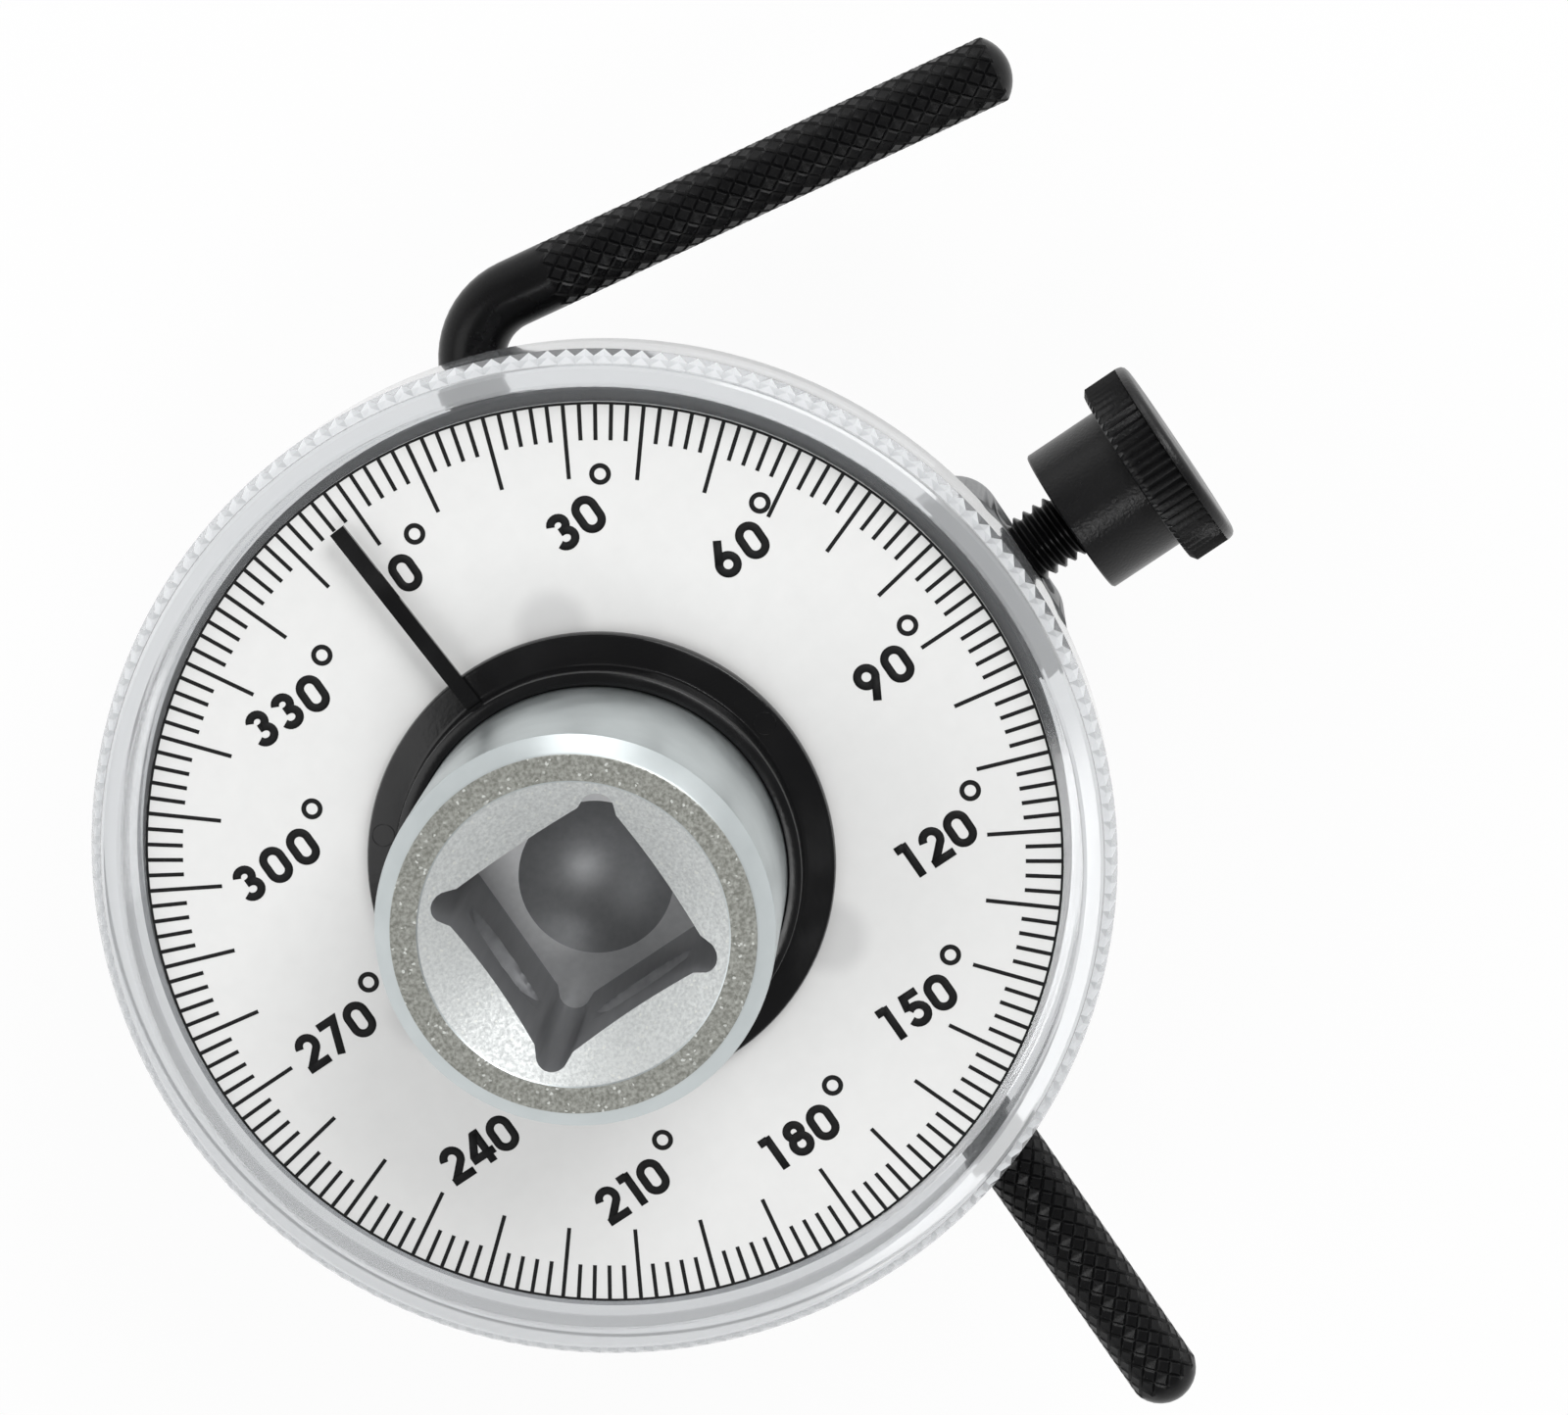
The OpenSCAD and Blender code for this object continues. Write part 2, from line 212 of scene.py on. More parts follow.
def add(tree, kind, settings=None, links=None):
    """Adds a node, gives it its settings and sockets, and links other nodes' outputs into it."""
    node = tree.nodes.new(kind)
    for key, value in (settings or {}).items():
        if isinstance(key, str) and hasattr(node, key):
            setattr(node, key, value)
        else:
            node.inputs[key].default_value = value
    for key, output in (links or {}).items():
        tree.links.new(output, node.inputs[key])
    return node


def blank_material(name):
    """Makes an empty node material and returns it with its tree."""
    material = bpy.data.materials.new(name)
    material.use_nodes = True
    material.node_tree.nodes.clear()
    return material, material.node_tree


def opaque(colour):
    """A colour property with full alpha."""
    return (*colour, 1.0)


def grained(name, tones, patch, grain, rough, relief, shader, squash=1.0):
    """A finish whose tone and gloss drift from patch to patch, over the relief of a grain.

    A patch and a grain are a width in mm and a noise detail, the relief is a strength and a depth
    in mm, and a squash below 1 draws both patterns out along Z.
    """
    material, tree = blank_material(name)
    place = add(tree, "ShaderNodeTexCoord").outputs["Object"]
    if squash < 1.0:
        drawn = add(tree, "ShaderNodeMapping", {"Scale": (1.0, 1.0, squash)}, {"Vector": place})
        place = drawn.outputs["Vector"]
    patches, grains = (
        add(tree, "ShaderNodeTexNoise", {"Scale": per_mm(width), "Detail": detail},
            {"Vector": place})
        for width, detail in (patch, grain))
    colour = add(tree, "ShaderNodeMix", {
        "data_type": "RGBA", 6: opaque(tones[0]), 7: opaque(tones[1])},
        {0: patches.outputs["Fac"]})
    gloss = add(tree, "ShaderNodeMapRange", rough, {"Value": patches.outputs["Fac"]})
    bump = add(tree, "ShaderNodeBump", {"Strength": relief[0], "Distance": relief[1] * MM}, {
        "Height": grains.outputs["Fac"]})
    surface = add(tree, "ShaderNodeBsdfPrincipled", shader, {
        "Base Color": colour.outputs[2], "Roughness": gloss.outputs["Result"],
        "Normal": bump.outputs["Normal"]})
    add(tree, "ShaderNodeOutputMaterial", None, {"Surface": surface.outputs["BSDF"]})
    return material


# Zinc-plated steel: a turned bar with a bluish satin plate, a little cloudy and faintly grained.
# Its turning marks, of about 0.1 mm, are drawn at 0.25 mm so that they show.
def zinc_plated_steel(colours):
    return grained(
        "zinc_plated_steel", (linear("BDC4C5"), colours.plating), (2.5, 3.0), (0.25, 2.0),
        {"To Min": 0.3, "To Max": 0.4}, (0.2, 0.01), {"Metallic": 1.0})


# Grit-blasted steel: plated over a blasted surface, so it is dull, with painted glints: single
# grains coloured near white here and there. Real grit is near 0.1 mm; it is drawn at 0.24 mm, and
# its painted glints at 0.16 mm, to show.
def grit_blasted_steel(name, dark, light, metal):
    material, tree = blank_material(name)
    place = add(tree, "ShaderNodeTexCoord").outputs["Object"]
    grit = add(tree, "ShaderNodeTexNoise", {
        "Scale": per_mm(0.24), "Detail": 2.0, "Roughness": 0.6}, {"Vector": place})
    grains = add(tree, "ShaderNodeMapRange", {"From Min": 0.32, "From Max": 0.7}, {
        "Value": grit.outputs["Fac"]})
    # painted glints: single grains coloured near white, about one in forty
    cells = add(tree, "ShaderNodeTexVoronoi", {"Scale": per_mm(0.16)}, {"Vector": place})
    split = add(tree, "ShaderNodeSeparateColor", None, {0: cells.outputs["Color"]})
    painted_glint = add(tree, "ShaderNodeMapRange", {"From Min": 0.965, "From Max": 0.985}, {
        "Value": split.outputs[0]})
    body = add(tree, "ShaderNodeMix", {"data_type": "RGBA", 6: opaque(dark), 7: opaque(light)}, {
        0: grains.outputs["Result"]})
    colour = add(tree, "ShaderNodeMix", {"data_type": "RGBA", 7: opaque(linear("DEE0DC"))}, {
        0: painted_glint.outputs["Result"], 6: body.outputs[2]})
    gloss = add(tree, "ShaderNodeMapRange", {"To Min": 0.62, "To Max": 0.45}, {
        "Value": grains.outputs["Result"]})
    bump = add(tree, "ShaderNodeBump", {"Strength": 0.4, "Distance": 0.03 * MM}, {
        "Height": grains.outputs["Result"]})
    shader = add(tree, "ShaderNodeBsdfPrincipled", {"Metallic": metal}, {
        "Base Color": colour.outputs[2], "Roughness": gloss.outputs["Result"],
        "Normal": bump.outputs["Normal"]})
    add(tree, "ShaderNodeOutputMaterial", None, {"Surface": shader.outputs["BSDF"]})
    return material


# Cut steel: the square hole, where little plate reaches, with the broach's or the drill's strokes
# down its walls. They are drawn 0.5 mm wide, because the real ones are too fine to show.
def cut_steel(name, dark, light):
    strokes = (0.5, 3.0)
    return grained(
        name, (dark, light), strokes, strokes, {"To Min": 0.34, "To Max": 0.48}, (0.2, 0.03),
        {"Metallic": 0.5}, squash=0.08)


# Moulded plastic: a fine spark-eroded grain that breaks up the highlights, and a slightly cloudy
# colour. The real grain is under 0.1 mm, so it is drawn coarser, at the width given, to show.
def moulded_plastic(name, dark, light, rough, grain, depth):
    return grained(
        name, (dark, light), (5.0, 2.0), (grain, 3.0),
        {"From Min": 0.3, "From Max": 0.7, "To Min": rough - 0.07, "To Max": rough + 0.1},
        (0.3, depth), {"IOR": 1.53, "Specular IOR Level": 0.32})


# Printed PVC sheet: satin white with a faint mottle, and painted shade: three soft grey spots where
# the screws below darken the sheet.
def printed_pvc(colours):
    material, tree = blank_material("printed_pvc")
    place = add(tree, "ShaderNodeTexCoord").outputs["Object"]
    mottle = add(tree, "ShaderNodeTexNoise", {
        "Scale": per_mm(1.6), "Detail": 4.0, "Roughness": 0.6}, {"Vector": place})
    sheet = add(tree, "ShaderNodeMix", {
        "data_type": "RGBA", 6: opaque(linear("E6E6E5")), 7: opaque(colours.dial)},
        {0: mottle.outputs["Fac"]})
    shade = sheet.outputs[2]
    screw_circle = 16.4 * MM
    # painted shade: a soft grey spot over each of the three screws under the sheet
    for angle in (23, 143, 263):
        way = radians(angle)
        spot = Vector((screw_circle * sin(way), screw_circle * cos(way), DIAL_Z))
        away = add(tree, "ShaderNodeVectorMath", {"operation": "DISTANCE", 1: spot}, {0: place})
        painted_screw_shade = add(tree, "ShaderNodeMapRange", {
            "interpolation_type": "SMOOTHSTEP", "From Min": 1.5 * MM, "From Max": 3.2 * MM,
            "To Min": 0.55, "To Max": 0.0}, {"Value": away.outputs["Value"]})
        mixed = add(tree, "ShaderNodeMix", {"data_type": "RGBA", 7: opaque(linear("C6C6C6"))}, {
            0: painted_screw_shade.outputs["Result"], 6: shade})
        shade = mixed.outputs[2]
    gloss = add(tree, "ShaderNodeMapRange", {"To Min": 0.42, "To Max": 0.58}, {
        "Value": mottle.outputs["Fac"]})
    bump = add(tree, "ShaderNodeBump", {"Strength": 0.12, "Distance": 0.02 * MM}, {
        "Height": mottle.outputs["Fac"]})
    shader = add(tree, "ShaderNodeBsdfPrincipled", {"IOR": 1.53}, {
        "Base Color": shade, "Roughness": gloss.outputs["Result"],
        "Normal": bump.outputs["Normal"]})
    add(tree, "ShaderNodeOutputMaterial", None, {"Surface": shader.outputs["BSDF"]})
    return material


# Screen-printed ink: matt black, a little thinner where the mesh of the screen lay. The mesh is
# drawn at 0.25 mm, coarser than a real screen, so that it shows.
def screen_ink(colours):
    material, tree = blank_material("screen_ink")
    place = add(tree, "ShaderNodeTexCoord")
    mesh = add(tree, "ShaderNodeTexNoise", {
        "Scale": per_mm(0.25), "Detail": 2.0}, {"Vector": place.outputs["Object"]})
    colour = add(tree, "ShaderNodeMix", {
        "data_type": "RGBA", 6: opaque(colours.ink), 7: opaque(linear("1A1A1B"))},
        {0: mesh.outputs["Fac"]})
    shader = add(tree, "ShaderNodeBsdfPrincipled", {
        "IOR": 1.5, "Roughness": 0.6, "Specular IOR Level": 0.25},
        {"Base Color": colour.outputs[2]})
    add(tree, "ShaderNodeOutputMaterial", None, {"Surface": shader.outputs["BSDF"]})
    return material


# Clear acrylic: a slightly milky moulding that scatters what lies behind it and bends the view of
# its own notches; faint flow waves vary its gloss. Polished it is clearer, and where the mould is
# blasted the same plastic is frosted and whiter.
def clear_acrylic(name, clear, low_gloss, high_gloss):
    material, tree = blank_material(name)
    place = add(tree, "ShaderNodeTexCoord")
    flow = add(tree, "ShaderNodeTexNoise", {
        "Scale": per_mm(2.5), "Detail": 2.0}, {"Vector": place.outputs["Object"]})
    gloss = add(tree, "ShaderNodeMapRange", {
        "To Min": low_gloss, "To Max": high_gloss}, {"Value": flow.outputs["Fac"]})
    bump = add(tree, "ShaderNodeBump", {"Strength": 0.1, "Distance": 0.05 * MM}, {
        "Height": flow.outputs["Fac"]})
    shader = add(tree, "ShaderNodeBsdfPrincipled", {
        "Base Color": opaque(linear("E2E4E6")), "IOR": 1.49, "Transmission Weight": clear},
        {"Roughness": gloss.outputs["Result"], "Normal": bump.outputs["Normal"]})
    add(tree, "ShaderNodeOutputMaterial", None, {"Surface": shader.outputs["BSDF"]})
    return material


# Black-oxide steel: a thin dark conversion coat, oiled, so that small edges flash on a nearly black
# ground. Its pits are drawn at 0.22 mm, coarser than they are, to show.
def black_oxide_steel(colours):
    return grained(
        "black_oxide_steel", (colours.arm, linear("101011")), (2.2, 4.0), (0.22, 2.0),
        {"To Min": 0.2, "To Max": 0.36}, (0.3, 0.03), {"IOR": 1.5, "Specular IOR Level": 0.2})


# Die-cast zinc: grey, lightly tumbled, with shallow flow marks and a soft sheen.
def die_cast_zinc(colours):
    material, tree = blank_material("die_cast_zinc")
    place = add(tree, "ShaderNodeTexCoord").outputs["Object"]
    flow = add(tree, "ShaderNodeTexNoise", {"Scale": per_mm(4.0), "Detail": 4.0}, {
        "Vector": place})
    pits = add(tree, "ShaderNodeTexNoise", {"Scale": per_mm(0.5), "Detail": 2.0}, {
        "Vector": place})
    colour = add(tree, "ShaderNodeMix", {
        "data_type": "RGBA", 6: opaque(linear("77787A")), 7: opaque(colours.casting)},
        {0: flow.outputs["Fac"]})
    gloss = add(tree, "ShaderNodeMapRange", {"To Min": 0.38, "To Max": 0.58}, {
        "Value": pits.outputs["Fac"]})
    bump = add(tree, "ShaderNodeBump", {"Strength": 0.25, "Distance": 0.04 * MM}, {
        "Height": pits.outputs["Fac"]})
    shader = add(tree, "ShaderNodeBsdfPrincipled", {"Metallic": 0.85}, {
        "Base Color": colour.outputs[2], "Roughness": gloss.outputs["Result"],
        "Normal": bump.outputs["Normal"]})
    add(tree, "ShaderNodeOutputMaterial", None, {"Surface": shader.outputs["BSDF"]})
    return material


# Small metal pieces: one turned or stamped metal, its tone and gloss broken by machining marks.
def machined_metal(name, dark, light, low_gloss, high_gloss, mark):
    marks = (mark, 3.0)
    return grained(
        name, (linear(dark), linear(light)), marks, marks,
        {"To Min": low_gloss, "To Max": high_gloss}, (0.15, 0.02), {"Metallic": 1.0})


# Nitrile rubber: dull black with a dusty bloom.
def nitrile_rubber():
    material, tree = blank_material("nitrile_rubber")
    place = add(tree, "ShaderNodeTexCoord")
    bloom = add(tree, "ShaderNodeTexNoise", {
        "Scale": per_mm(0.8), "Detail": 3.0}, {"Vector": place.outputs["Object"]})
    colour = add(tree, "ShaderNodeMix", {
        "data_type": "RGBA", 6: opaque(linear("151515")), 7: opaque(linear("262625"))},
        {0: bloom.outputs["Fac"]})
    shader = add(tree, "ShaderNodeBsdfPrincipled", {"IOR": 1.52, "Roughness": 0.75}, {
        "Base Color": colour.outputs[2]})
    add(tree, "ShaderNodeOutputMaterial", None, {"Surface": shader.outputs["BSDF"]})
    return material


def set_down(name, bm, finishes, body, stands_for, crease):
    """Makes a bmesh an object, shades it by crease angle, ties it to its body and hides the CAD
    parts it stands for.
    """
    mesh = bpy.data.meshes.new(name)
    bm.to_mesh(mesh)
    bm.free()
    for finish in finishes:
        mesh.materials.append(finish)
    mesh.shade_smooth()
    mesh.set_sharp_from_angle(angle=radians(crease))
    piece = bpy.data.objects.new(name, mesh)
    bpy.context.scene.collection.objects.link(piece)
    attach(piece, body)
    if stands_for:
        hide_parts(*stands_for)
    return piece


def keep_piece(name, bm, finishes, body, stands_for=(), crease=35.0):
    """Merges a new piece's doubles, turns its faces outwards and sets it down."""
    bmesh.ops.remove_doubles(bm, verts=bm.verts, dist=MERGE)
    bmesh.ops.recalc_face_normals(bm, faces=bm.faces)
    return set_down(name, bm, finishes, body, stands_for, crease)


def cut_off(bm, point, outwards):
    """Cuts away what lies past a plane and closes the cut."""
    bmesh.ops.bisect_plane(
        bm, geom=bm.verts[:] + bm.edges[:] + bm.faces[:], dist=ON_PLANE, plane_co=point,
        plane_no=outwards, clear_outer=True)
    point, outwards = Vector(point), Vector(outwards)
    rim = [
        edge for edge in bm.edges if edge.is_boundary
        and all(abs((vert.co - point).dot(outwards)) < SAME for vert in edge.verts)]
    bmesh.ops.contextual_create(bm, geom=rim)


def smooth_copy(name, node, finish, body, crease=28.0, top=None):
    """Stands a merged, smoothly shaded copy of a CAD node in for it, cut off at `top`."""
    bm = bmesh.new()
    bm.from_mesh(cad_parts[node].data)
    bmesh.ops.remove_doubles(bm, verts=bm.verts, dist=CAD_MERGE)
    if top is not None:
        cut_off(bm, (0, 0, top), (0, 0, 1))
    piece = set_down(name, bm, [finish], body, (node,), crease)
    # the copy's long thin triangles would streak its flats, so the large faces set the shading
    flats = piece.modifiers.new("flat_shading", "WEIGHTED_NORMAL")
    flats.keep_sharp = True


def paint_node(node, material):
    """Gives a CAD node whose shape is right its finish."""
    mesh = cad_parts[node].data
    mesh.materials.clear()
    mesh.materials.append(material)


def draw_line(bm, points, closed=False):
    """Draws a line of edges through the points and returns its vertices and edges."""
    verts = [bm.verts.new(point) for point in points]
    edges = [bm.edges.new(pair) for pair in zip(verts, verts[1:])]
    if closed:
        edges.append(bm.edges.new((verts[-1], verts[0])))
    return verts, edges


def turn(bm, outline, steps, place=Matrix.Identity(4)):
    """Spins an outline of (radius, height) points a full turn round the Z axis of `place`."""
    verts, edges = draw_line(bm, [place @ Vector((r, 0.0, z)) for r, z in outline], closed=True)
    bmesh.ops.spin(
        bm, geom=verts + edges, cent=place.translation, axis=place.to_3x3() @ Vector((0, 0, 1)),
        dvec=(0, 0, 0), angle=2 * pi, steps=steps, use_merge=True)


def flute(bm, place, steps, limits, top):
    """Holds a spun shape, up to the height `top`, to radii that repeat from step to step."""
    back = place.inverted()
    for vert in bm.verts:
        point = back @ vert.co
        radius = hypot(point.x, point.y)
        if point.z > top:
            continue
        limit = limits[round(atan2(point.y, point.x) * steps / (2 * pi)) % len(limits)]
        if radius > limit:
            inwards = limit / radius
            vert.co = place @ Vector((point.x * inwards, point.y * inwards, point.z))


def loft(bm, sides, stations):
    """Extrudes a ring of points through the stations and closes both ends.

    A station is the material of the band that leads to it and a function that places the point of
    a column.
    """
    column = bm.verts.layers.int.new("column")
    bmesh.ops.create_circle(bm, cap_ends=True, radius=MM, segments=sides)
    for vert in bm.verts:
        vert[column] = round(atan2(vert.co.y, vert.co.x) * sides / (2 * pi)) % sides
    finish, place = stations[0]
    for vert in bm.verts:
        vert.co = place(vert[column])
    edges = bm.edges[:]
    for finish, place in stations[1:]:
        made = bmesh.ops.extrude_edge_only(bm, edges=edges)["geom"]
        ring = {g for g in made if isinstance(g, bmesh.types.BMVert)}
        edges = [
            g for g in made if isinstance(g, bmesh.types.BMEdge) and ring.issuperset(g.verts)]
        for vert in ring:
            vert.co = place(vert[column])
        for face in made:
            if isinstance(face, bmesh.types.BMFace):
                face.material_index = finish
    for face in bmesh.ops.contextual_create(bm, geom=edges)["faces"]:
        face.material_index = finish
    bm.verts.layers.int.remove(column)


def along_x(x, z):
    """Matrix whose local Z axis lies on X, at a place on the thumbscrew's line."""
    return Matrix.Translation((x, 0.0, z)) @ Matrix.Rotation(pi / 2, 4, "Y")


class GAUGE_OT_dress_drive(bpy.types.Operator):
    """Plates the drive spindle and finishes its ball, spring and clip"""

    bl_idname = "gauge.dress_drive"
    bl_label = "Drive"

    def execute(self, context):
        colours = context.scene.gauge_colours
        plated = zinc_plated_steel(colours)
        seam = HUB_LOW.z + 2.0 * MM
        smooth_copy(
            "plated_spindle", "drive_spindle", plated, "drive", 2.0, top=seam)
        bm = bmesh.new()
        loft(bm, NOSE_SIDES, self.nose_stations(seam))
        keep_piece("socket_nose", bm, [
            plated,
            grit_blasted_steel("grit_blasted_face", colours.nose_grit, linear("B4B5AF"), 0.9),
            grit_blasted_steel("satin_countersink", linear("C4C7C7"), linear("DCDFDE"), 0.6),
            cut_steel("broached_steel", linear("86878A"), colours.socket),
            # painted light: the milled foot is painted near white for the light that falls on the
            # floor of the hole
            cut_steel("milled_steel_painted_light", linear("D8D9DA"), linear("EDEEEF")),
            cut_steel("drilled_steel", linear("989A9C"), linear("B2B3B5")),
        ], "drive", crease=26.0)
        ball = machined_metal("polished_chrome_steel", "B9BABC", "C9CACC", 0.06, 0.14, 0.6)
        smooth_copy("bright_ball", "detent_ball", ball, "ball", 60.0)
        spring = machined_metal("oiled_spring_steel", "5A5B5E", "74757A", 0.28, 0.42, 0.4)
        for node in ("detent_spring", "retaining_clip", "wave_washer"):
            paint_node(node, spring)
        return {"FINISHED"}

    def nose_stations(self, seam):
        """The nose from its foot over its face, down the countersink, the square and its dish."""
        side, lobe_at, lobe_r = 6.41 * MM, 8.077 * MM, 1.1 * MM
        mouth, face = 9.85 * MM, NOSE_R - 1.15 * MM
        cone_slope = 1.5
        plate, blasted, cone, broached, lit_milled_foot, drilled = range(6)

        def circle(radius, depth):
            def place(column):
                angle = 2 * pi * column / NOSE_SIDES
                return Vector((radius * cos(angle), radius * sin(angle), NOSE_TOP - depth))
            return place

        def square_reach(column):
            """Radius of the square with its rounded corner reliefs."""
            off = radians((360 * column / NOSE_SIDES) % 90 - 45)
            across = lobe_at * sin(off)
            if abs(across) < lobe_r:
                return lobe_at * cos(off) + (lobe_r ** 2 - across ** 2) ** 0.5
            return side / max(cos(off + pi / 4), cos(off - pi / 4))

        def wall(depth, groove=0.0):
            def place(column):
                reach = square_reach(column)
                low = max(depth, (mouth - reach) / cone_slope)
                return circle(max(reach, groove), low)(column)
            return place

        stations = [(plate, circle(NOSE_R, NOSE_TOP - seam)), (plate, circle(NOSE_R, 1.3 * MM))]
        # the bright chamfer, as steps inwards and depths below the face
        chamfer = ((0.05, 1.1), (1.02, 0.13), (1.15, 0.03))
        stations += [(plate, circle(NOSE_R - r * MM, d * MM)) for r, d in chamfer]
        stations += [
            (blasted, circle(face - 0.05 * MM, 0.0)), (blasted, circle(mouth + 0.08 * MM, 0.0)),
            (plate, circle(mouth - 0.02 * MM, 0.05 * MM)), (cone, wall(0.0))]
        # the ball's groove: a turned channel that cuts the middle of each wall, sizes in mm
        middle, half, level, bottom, edge = 8.5, 2.3, 1.0, 7.5, 6.0
        for k in range(-12, 13):
            off = k / 12 * half
            reach = bottom - max(abs(off) - level, 0.0) * (bottom - edge) / (half - level)
            stations.append((broached, wall((middle + off) * MM, reach * MM)))
        foot = 16.5 * MM
        stations += [(broached, wall(depth)) for depth in (13.0 * MM, 16.2 * MM, foot)]
        # a flat foot with a drilled dish, which is a part of a ball; the foot's near-white tone is
        # painted light on the floor of the hole
        ball_r, opening, lowest, parts = 9.25 * MM, 34.2, 18.1 * MM, 9
        stations.append((lit_milled_foot, circle(5.2 * MM, foot)))
        for k in range(1, parts):
            fall = radians(opening * (1 - k / parts))
            depth = lowest - ball_r * (1 - cos(fall))
            stations.append((drilled, circle(ball_r * sin(fall), depth)))
        return stations


class GAUGE_OT_mould_pointer(bpy.types.Operator):
    """Moulds the pointer's hub and its needle"""

    bl_idname = "gauge.mould_pointer"
    bl_label = "Pointer"

    def execute(self, context):
        plastic = moulded_plastic(
            "moulded_abs", context.scene.gauge_colours.plastic, linear("131314"), 0.17, 0.3, 0.02)
        bore = NOSE_R + 0.05 * MM
        foot, top = HUB_LOW.z, HUB_HIGH.z
        flange, collar = HUB_HIGH.x, HUB_HIGH.x - 2.1 * MM
        shelf = foot + 1.0 * MM
        bm = bmesh.new()
        turn(bm, [
            (bore, foot), (flange - 0.1 * MM, foot), (flange, foot + 0.1 * MM),
            (flange, shelf - 0.3 * MM), (flange - 0.09 * MM, shelf - 0.09 * MM),
            (flange - 0.3 * MM, shelf), (collar + 0.25 * MM, shelf),
            (collar + 0.07 * MM, shelf + 0.07 * MM), (collar, shelf + 0.25 * MM),
            (collar, top - 0.4 * MM), (collar - 0.12 * MM, top - 0.12 * MM),
            (collar - 0.4 * MM, top), (bore + 0.1 * MM, top), (bore, top - 0.1 * MM),
        ], HUB_STEPS)
        keep_piece("hub_moulding", bm, [plastic], "drive", ("pointer_hub",), 40.0)
        bm = bmesh.new()
        middle = (flange + collar) / 2
        for angle in (83, 203, 312):
            way = radians(angle)
            spot = Matrix.Translation((middle * sin(way), middle * cos(way), shelf))
            turn(bm, [
                (0.72 * MM, -0.02 * MM), (0.8 * MM, -0.02 * MM), (0.76 * MM, 0.03 * MM),
            ], SMALL_STEPS, spot)
        keep_piece("ejector_marks", bm, [plastic], "drive")
        paint_node("pointer_needle", plastic)
        return {"FINISHED"}


class GAUGE_OT_print_dial(bpy.types.Operator):
    """Prints the dial: ticks every two degrees, numbers every thirty"""

    bl_idname = "gauge.print_dial"
    bl_label = "Dial"

    film = 0.02 * MM

    def execute(self, context):
        sizes = context.scene.gauge_sizes
        colours = context.scene.gauge_colours
        paint_node("dial_face", printed_pvc(colours))
        ink = screen_ink(colours)
        self.print_ticks(sizes, ink)
        self.print_numbers(sizes, ink)
        return {"FINISHED"}

    def print_ticks(self, sizes, ink):
        bm = bmesh.new()
        for angle in range(0, 360, 2):
            length = sizes.long_tick if angle % 10 == 0 else sizes.short_tick
            middle = Matrix.Translation((0.0, sizes.tick_outer - length / 2, DIAL_Z))
            shape = Matrix.Diagonal((sizes.tick_width, length, 2 * self.film, 1.0))
            bmesh.ops.create_cube(
                bm, size=1.0, matrix=Matrix.Rotation(-radians(angle), 4, "Z") @ middle @ shape)
        self.print_ring(
            bm, sizes.tick_outer, DIAL_R - 0.01 * MM, BORDER_STEPS, Vector((0.0, 0.0, DIAL_Z)))
        keep_piece("tick_print", bm, [ink], "dial")

    def print_numbers(self, sizes, ink):
        degree_bore, degree_r, degree_rise = 0.4 * MM, 0.73 * MM, 1.8
        scale = sizes.number_height / NUMBER_H
        bm = bmesh.new()
        rings = bmesh.new()
        for k, (x, y, pitch, off) in enumerate(NUMBER_PLACES):
            digits = str(30 * k)
            for place, digit in enumerate(digits):
                left = (len(digits) - 1 - place) * pitch
                middle = Vector(((x - left) * MM, y * MM, DIAL_Z - self.film))
                for layer, (stroke, closed) in enumerate(DIGIT_STROKES[digit]):
                    # a digit's strokes differ in height, so that no two tops lie in one plane
                    high = (2 + 0.3 * layer) * self.film
                    self.lay_stroke(bm, stroke, closed, middle, scale, high)
            spot = Vector(((x + off) * MM, (y + degree_rise) * MM, DIAL_Z))
            self.print_ring(rings, degree_bore, degree_r, SMALL_STEPS, spot)
        numbers = keep_piece("number_print", bm, [ink], "dial")
        width = numbers.modifiers.new("stroke_width", "SOLIDIFY")
        width.thickness = sizes.number_stroke
        width.offset = 0.0
        width.use_even_offset = True
        keep_piece("degree_print", rings, [ink], "dial")

    def print_ring(self, bm, inner, outer, steps, middle):
        """Prints a ring, half sunk in the dial."""
        film = self.film
        turn(bm, [(inner, -film), (outer, -film), (outer, film), (inner, film)], steps,
             Matrix.Translation(middle))

    def lay_stroke(self, bm, stroke, closed, middle, scale, high):
        """Stands one stroke of a digit on the dial as a low wall, which gets its width later."""
        points = [middle + Vector((u * scale, v * scale, 0.0)) for u, v in stroke]
        edges = draw_line(bm, points, closed)[1]
        made = bmesh.ops.extrude_edge_only(bm, edges=edges)["geom"]
        tops = [g for g in made if isinstance(g, bmesh.types.BMVert)]
        bmesh.ops.translate(bm, verts=tops, vec=(0.0, 0.0, high))


